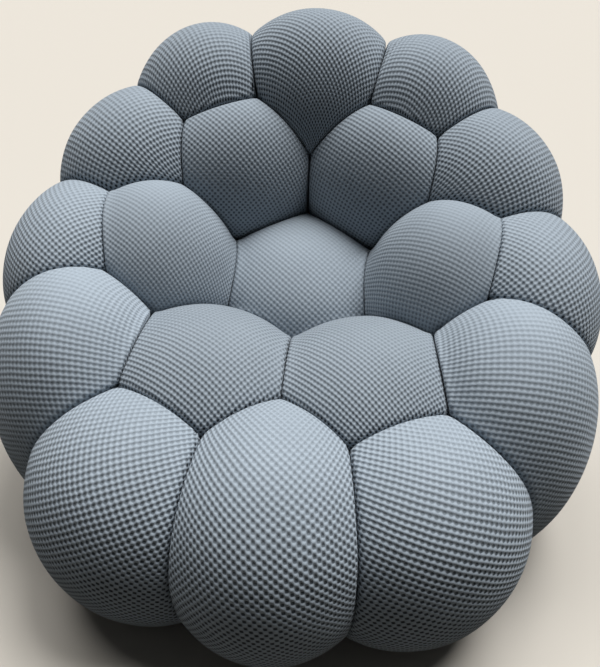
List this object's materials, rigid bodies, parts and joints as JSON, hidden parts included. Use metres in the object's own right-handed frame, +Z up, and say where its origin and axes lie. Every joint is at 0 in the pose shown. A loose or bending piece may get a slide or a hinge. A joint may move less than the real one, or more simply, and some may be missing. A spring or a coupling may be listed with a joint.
{
  "type": "bubble armchair",
  "caption": "Low round armchair made of plump knit-covered foam bubbles, with a hollowed seat, closed arms and a high rounded back.",
  "frame": {"origin": "centre of the chair's footprint, on the floor", "axes": "+Z up, the sitter faces -Y, +X to the right as seen from the front"},
  "size_m": [1.1012, 1.0401, 0.81],
  "materials": {
    "knit_cover": "matte",
    "plywood": "satin",
    "pine": "matte",
    "webbing": "matte",
    "pad_foam": "matte",
    "dust_cloth": "matte",
    "nylon": "satin"
  },
  "bodies": {
    "root": {"front_bubble_left": "knit_cover", "front_bubble_center": "knit_cover", "front_bubble_right": "knit_cover", "arm_front_bubble_left": "knit_cover", "arm_front_bubble_right": "knit_cover", "arm_bubble_left": "knit_cover", "arm_bubble_right": "knit_cover", "shoulder_bubble_left": "knit_cover", "shoulder_bubble_right": "knit_cover", "back_bubble_left": "knit_cover", "back_bubble_center": "knit_cover", "back_bubble_right": "knit_cover", "seat_bubble_left": "knit_cover", "seat_bubble_right": "knit_cover", "seat_bubble_rear": "knit_cover", "side_bubble_left": "knit_cover", "side_bubble_right": "knit_cover", "lumbar_bubble_left": "knit_cover", "lumbar_bubble_right": "knit_cover", "base_bubble_side_left": "knit_cover", "base_bubble_side_right": "knit_cover", "base_bubble_corner_left": "knit_cover", "base_bubble_corner_right": "knit_cover", "base_bubble_rear_left": "knit_cover", "base_bubble_rear_right": "knit_cover", "base_panel": "plywood", "front_rail": "plywood", "rear_rail": "plywood", "front_left_rail": "plywood", "front_right_rail": "plywood", "rear_left_rail": "plywood", "rear_right_rail": "plywood", "back_panel": "plywood", "wing_panel_left": "plywood", "wing_panel_right": "plywood", "arm_panel_left": "plywood", "arm_panel_right": "plywood", "corner_block_front_left": "pine", "corner_block_front_right": "pine", "corner_block_side_left": "pine", "corner_block_side_right": "pine", "corner_block_rear_left": "pine", "corner_block_rear_right": "pine", "webbing_long_1": "webbing", "webbing_long_2": "webbing", "webbing_long_3": "webbing", "webbing_cross_1": "webbing", "webbing_cross_2": "webbing", "webbing_cross_3": "webbing", "seat_pad": "pad_foam", "dust_cover": "dust_cloth", "glide_front_left": "nylon", "glide_front_right": "nylon", "glide_side_left": "nylon", "glide_side_right": "nylon", "glide_rear_left": "nylon", "glide_rear_right": "nylon"}
  },
  "joints": []
}
